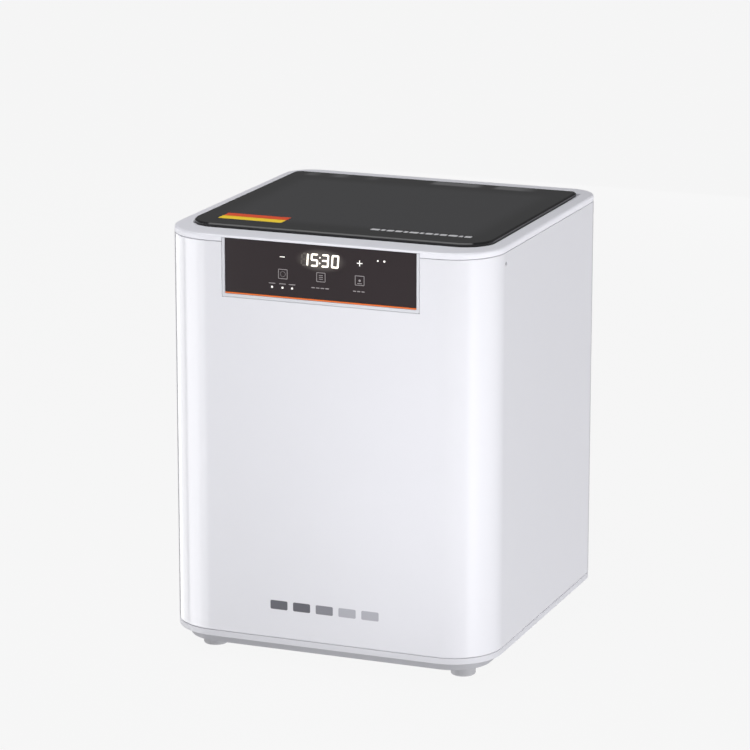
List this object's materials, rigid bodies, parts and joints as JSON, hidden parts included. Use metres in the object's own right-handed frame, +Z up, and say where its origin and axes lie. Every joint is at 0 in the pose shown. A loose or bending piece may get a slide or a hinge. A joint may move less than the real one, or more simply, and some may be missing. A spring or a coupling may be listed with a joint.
{
  "type": "resin wash station",
  "caption": "Tall rounded cabinet with a hinged smoked lid over a lift-out wash tank and basket, front touch panel, magnetic stirring drive and UV lamps.",
  "frame": {"origin": "on the floor under the middle of the cabinet, level with the bottom of the feet", "axes": "+Z up, -Y out of the front with the touch panel, +X to the right seen from the front"},
  "size_m": [0.375, 0.38, 0.477],
  "materials": {
    "body_white": "satin",
    "rim_grey": "satin",
    "plinth_grey": "matt",
    "foot_rubber": "matt",
    "touch_plate": "gloss",
    "accent_orange": "satin",
    "display": "gloss",
    "circuit_board": "satin",
    "smoked_lid": "gloss",
    "dark_plastic": "satin",
    "gasket": "matt",
    "steel": "brushed",
    "black_screw": "satin",
    "bare_aluminium": "satin",
    "motor_metal": "satin",
    "reflector": "polished",
    "lamp_window": "gloss",
    "tank_plastic": "satin"
  },
  "bodies": {
    "cabinet": {"outer_shell": "body_white", "top_frame": "rim_grey", "base_ring": "rim_grey", "panel_bezel": "rim_grey", "rear_panel": "rim_grey", "base_tray": "plinth_grey", "foot_front_left": "foot_rubber", "foot_front_right": "foot_rubber", "foot_rear_left": "foot_rubber", "foot_rear_right": "foot_rubber", "panel_glass": "touch_plate", "panel_trim": "accent_orange", "display_module": "display", "control_board": "circuit_board", "lid_sensor_board": "circuit_board", "mainboard": "circuit_board", "uv_bar_left": "circuit_board", "uv_bar_right": "circuit_board", "uv_bar_rear": "circuit_board", "hinge_base_left": "dark_plastic", "hinge_base_right": "dark_plastic", "fan_frame": "dark_plastic", "power_inlet": "dark_plastic", "switch_body": "dark_plastic", "hinge_pin_left": "steel", "hinge_pin_right": "steel", "motor_bracket": "steel", "side_screw_left": "black_screw", "side_screw_right": "black_screw", "rear_screw_left_lower": "black_screw", "rear_screw_left_upper": "black_screw", "rear_screw_right_lower": "black_screw", "rear_screw_right_upper": "black_screw", "power_supply": "bare_aluminium", "motor": "motor_metal", "chamber_liner": "reflector", "uv_window_left": "lamp_window", "uv_window_right": "lamp_window", "uv_window_rear": "lamp_window"},
    "lid": {"lid_panel": "smoked_lid", "lid_frame": "dark_plastic", "lid_gasket": "gasket", "lid_magnet": "motor_metal", "lid_arm_left": "dark_plastic", "lid_arm_right": "dark_plastic"},
    "wash_tank": {"wash_tank": "tank_plastic", "impeller_axle": "steel"},
    "impeller": {"impeller": "dark_plastic"},
    "wash_basket": {"wash_basket": "dark_plastic", "basket_floor": "dark_plastic", "basket_leg_front_left": "dark_plastic", "basket_leg_front_right": "dark_plastic", "basket_leg_rear_left": "dark_plastic", "basket_leg_rear_right": "dark_plastic"},
    "basket_handle": {"basket_handle": "steel"},
    "motor_rotor": {"motor_shaft": "steel", "magnet_rotor": "motor_metal"},
    "fan_rotor": {"fan_rotor": "dark_plastic"},
    "power_rocker": {"switch_rocker": "dark_plastic"}
  },
  "joints": [
    {"name": "lid_hinge", "type": "hinge", "parent": "cabinet", "child": "lid", "pos_m": [0, 0.1515, 0.468], "axis": [-1, 0, 0], "range_deg": [0, 100]},
    {"name": "tank_lift", "type": "slide", "parent": "cabinet", "child": "wash_tank", "axis": [0, 0, 1], "range_m": [0, 0.04]},
    {"name": "basket_lift", "type": "slide", "parent": "wash_tank", "child": "wash_basket", "axis": [0, 0, 1], "range_m": [0, 0.035]},
    {"name": "basket_handle_swing", "type": "hinge", "parent": "wash_basket", "child": "basket_handle", "pos_m": [0, -0.002, 0.328], "axis": [-1, 0, 0], "range_deg": [0, 157]},
    {"name": "motor_spin", "type": "hinge", "parent": "cabinet", "child": "motor_rotor", "pos_m": [0, -0.002, 0.1], "axis": [0, 0, 1], "continuous": true},
    {"name": "impeller_spin", "type": "hinge", "parent": "wash_tank", "child": "impeller", "pos_m": [0, -0.002, 0.125], "axis": [0, 0, 1], "continuous": true},
    {"name": "fan_spin", "type": "hinge", "parent": "cabinet", "child": "fan_rotor", "pos_m": [0.062, 0.177, 0.24], "axis": [0, 1, 0], "continuous": true},
    {"name": "power_rocker_tilt", "type": "hinge", "parent": "cabinet", "child": "power_rocker", "pos_m": [-0.052, 0.1825, 0.11], "axis": [1, 0, 0], "range_deg": [0, 14]}
  ],
  "couplings": [
    {"joint": "impeller_spin", "follows": "motor_spin", "ratio": 1}
  ]
}
